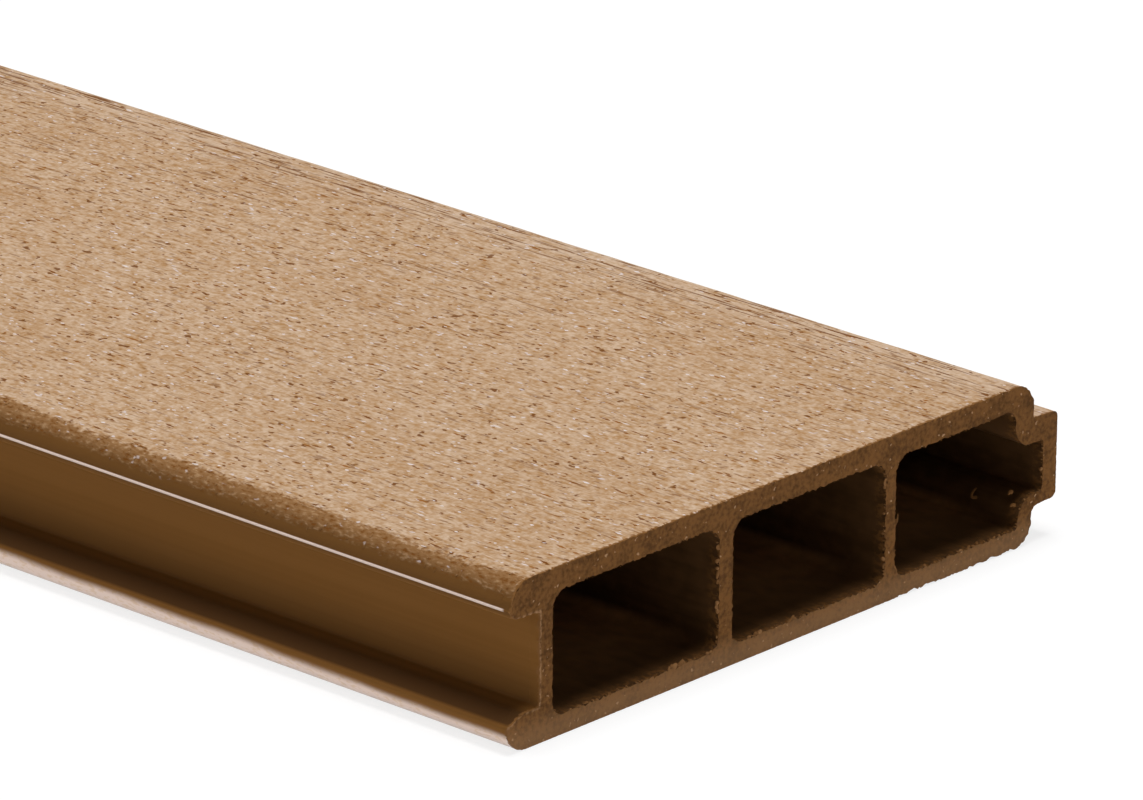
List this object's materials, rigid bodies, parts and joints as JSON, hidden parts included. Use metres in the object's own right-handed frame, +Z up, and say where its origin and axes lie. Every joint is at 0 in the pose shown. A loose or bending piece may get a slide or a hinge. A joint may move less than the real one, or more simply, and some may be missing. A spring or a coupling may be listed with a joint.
{
  "type": "hollow composite tongue and groove board",
  "caption": "Hollow extruded tongue and groove board in cedar-coloured wood-plastic composite, with one brushed face.",
  "frame": {"origin": "middle of the underside of the board's outer box", "axes": "+X along the board, +Y across it towards the tongue, with the groove facing -Y, +Z up to the brushed face"},
  "size_m": [1.8288, 0.1476, 0.0318],
  "materials": {
    "cedar_composite": "brushed on the top face, smooth as extruded elsewhere, plain saw cut at the ends"
  },
  "bodies": {
    "root": {"tongue_and_groove_board": "cedar_composite"}
  },
  "joints": []
}
